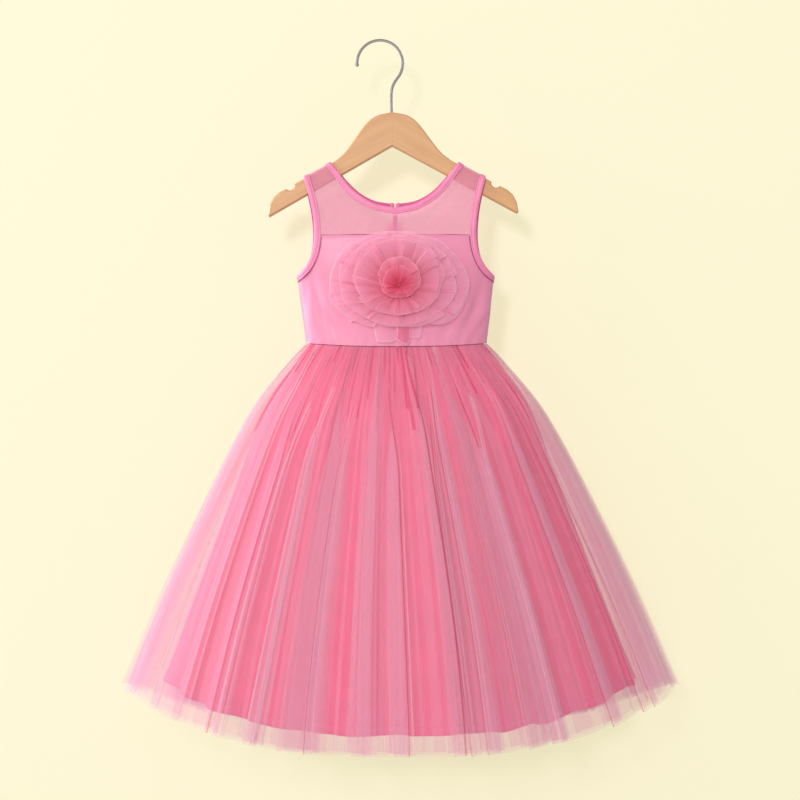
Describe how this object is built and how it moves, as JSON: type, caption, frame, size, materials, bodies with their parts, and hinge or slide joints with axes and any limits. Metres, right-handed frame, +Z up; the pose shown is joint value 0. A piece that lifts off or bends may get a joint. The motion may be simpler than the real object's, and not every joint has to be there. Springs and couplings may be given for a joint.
{
  "type": "toddler party dress on a hanger",
  "caption": "Sleeveless child's party dress with sheer yoke, satin bodice, tulle rosette and full gathered tulle skirt, on a flat wooden hanger with a wire hook.",
  "frame": {"origin": "inside top of the hook's crook, where a peg or rail carries it", "axes": "+Z up, front of the dress faces -Y, +X to the wearer's left"},
  "size_m": [0.6712, 0.2044, 0.8418],
  "materials": {
    "satin": "satin",
    "net": "sheer net",
    "tulle": "sheer tulle",
    "lining": "satin",
    "binding": "satin",
    "rosette": "sheer tulle",
    "wood": "satin varnish",
    "wire": "bright",
    "tape": "matte",
    "pull": "painted"
  },
  "bodies": {
    "dress_on_hanger": {"hanger_board": "wood", "hanger_hook": "wire", "front_yoke": "net", "bodice_front": "satin", "back_yoke_left": "net", "bodice_back_left": "satin", "armhole_binding_left": "binding", "back_yoke_right": "net", "bodice_back_right": "satin", "armhole_binding_right": "binding", "neck_binding": "binding", "tulle_skirt_front": "tulle", "lining_skirt_front": "lining", "tulle_skirt_back": "tulle", "lining_skirt_back": "lining", "ruffle_outer": "rosette", "ruffle_third": "rosette", "ruffle_second": "rosette", "ruffle_inner": "rosette", "rosette_bud": "rosette", "zip_tape": "tape", "zip_slider": "pull"},
    "zip_pull": {"zip_pull": "pull"}
  },
  "joints": [
    {"name": "zip_pull_hinge", "type": "hinge", "parent": "dress_on_hanger", "child": "zip_pull", "pos_m": [0.01819, 0.01731, -0.2105], "axis": [1, 0, 0], "range_deg": [0, 150]}
  ]
}
